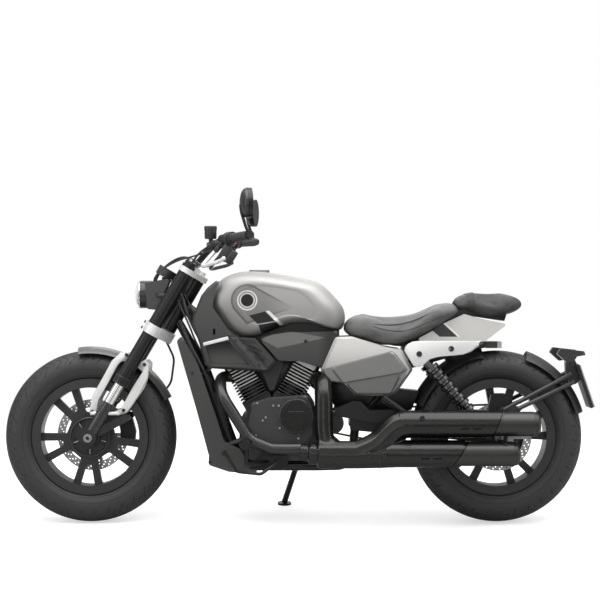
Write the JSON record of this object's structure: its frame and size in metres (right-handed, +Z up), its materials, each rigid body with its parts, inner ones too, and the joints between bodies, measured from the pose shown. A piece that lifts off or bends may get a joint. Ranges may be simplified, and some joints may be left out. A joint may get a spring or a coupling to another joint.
{
  "type": "cruiser motorcycle",
  "caption": "Low V-twin cruiser motorcycle with cast wheels, raked fork, wide handlebar, teardrop tank, stepped seat and stacked side exhausts, leaning on its side stand.",
  "frame": {"origin": "bottom centre of the parked machine's box, on the ground", "axes": "+X to the rear of the machine, +Y to the side it leans to, +Z up"},
  "size_m": [2.1932, 0.9301, 1.279],
  "materials": {
    "tyre": "satin black tyre rubber",
    "black_wheel": "satin black paint",
    "disc_steel": "brushed stainless steel",
    "pulley": "machined",
    "belt": "matt",
    "black_tube": "satin black paint",
    "fork_silver": "satin silver",
    "grip_rubber": "matt black rubber",
    "black_plastic": "matt black",
    "mirror_black": "satin black with a glass face",
    "lamp_shell": "black with a bright rim",
    "lamp_glass": "clear",
    "caliper": "black",
    "engine_black": "satin black cast aluminium",
    "fins": "black with bright fin edges",
    "silver_paint": "warm metallic silver",
    "cap_black": "black",
    "anthracite": "dark anthracite satin",
    "seat_leather": "dark grey seat cover",
    "exhaust_black": "matt dark heat coating",
    "shock_black": "black spring and damper",
    "lamp_red": "red and amber lamps"
  },
  "bodies": {
    "chassis": {"engine_block": "engine_black", "clutch_cover": "engine_black", "alternator_cover": "engine_black", "front_cylinder": "fins", "rear_cylinder": "fins", "fuel_tank": "silver_paint", "air_box": "black_plastic", "fuel_cap": "cap_black", "tank_shrouds": "anthracite", "knee_panels": "anthracite", "chin_panels": "anthracite", "front_header": "exhaust_black", "rear_header": "exhaust_black", "exhaust_collector": "exhaust_black", "lower_muffler": "exhaust_black", "upper_muffler": "exhaust_black", "rider_seat": "seat_leather", "pillion_pad": "seat_leather", "tail_cowl": "silver_paint", "tail_rails": "fork_silver", "side_covers": "silver_paint", "main_frame": "black_tube", "radiator": "black_plastic", "swingarm": "black_tube", "rear_axle": "fork_silver", "rear_shocks": "shock_black", "drive_belt": "belt", "front_pulley": "pulley", "inner_fender": "black_plastic", "rear_fender": "black_plastic", "rear_lamps": "lamp_red", "rider_pegs": "black_tube", "foot_controls": "black_tube", "passenger_pegs": "black_tube", "rear_caliper": "caliper"},
    "steering": {"fork_outer_tubes": "black_tube", "fork_legs": "fork_silver", "front_axle": "fork_silver", "lower_clamp": "fork_silver", "upper_clamp": "fork_silver", "handlebar": "black_tube", "grips": "grip_rubber", "hand_controls": "black_plastic", "mirrors": "mirror_black", "headlight": "lamp_shell", "headlight_lens": "lamp_glass", "headlight_brackets": "black_tube", "instrument": "black_plastic", "front_fender": "black_plastic", "fender_stays": "fork_silver", "front_caliper": "caliper", "brake_hose": "grip_rubber"},
    "front_wheel": {"front_rim": "black_wheel", "front_tyre": "tyre", "front_disc": "disc_steel"},
    "rear_wheel": {"rear_rim": "black_wheel", "rear_tyre": "tyre", "rear_disc": "disc_steel", "rear_pulley": "pulley"},
    "side_stand": {"side_stand": "black_tube"}
  },
  "joints": [
    {"name": "steer", "type": "hinge", "parent": "chassis", "child": "steering", "pos_m": [-0.51212, -0.07685, 0.67457], "axis": [0.506, 0.1349, 0.8519], "range_deg": [-30, 30]},
    {"name": "front_wheel_spin", "type": "hinge", "parent": "steering", "child": "front_wheel", "pos_m": [-0.77662, -0.13347, 0.31711], "axis": [0, 0.9877, -0.1564], "continuous": true},
    {"name": "rear_wheel_spin", "type": "hinge", "parent": "chassis", "child": "rear_wheel", "pos_m": [0.73938, -0.13347, 0.31711], "axis": [0, 0.9877, -0.1564], "continuous": true},
    {"name": "stand_fold", "type": "hinge", "parent": "chassis", "child": "side_stand", "pos_m": [-0.00462, -0.00331, 0.18006], "axis": [0.143, -0.9125, -0.3832], "range_deg": [0, 99]}
  ]
}
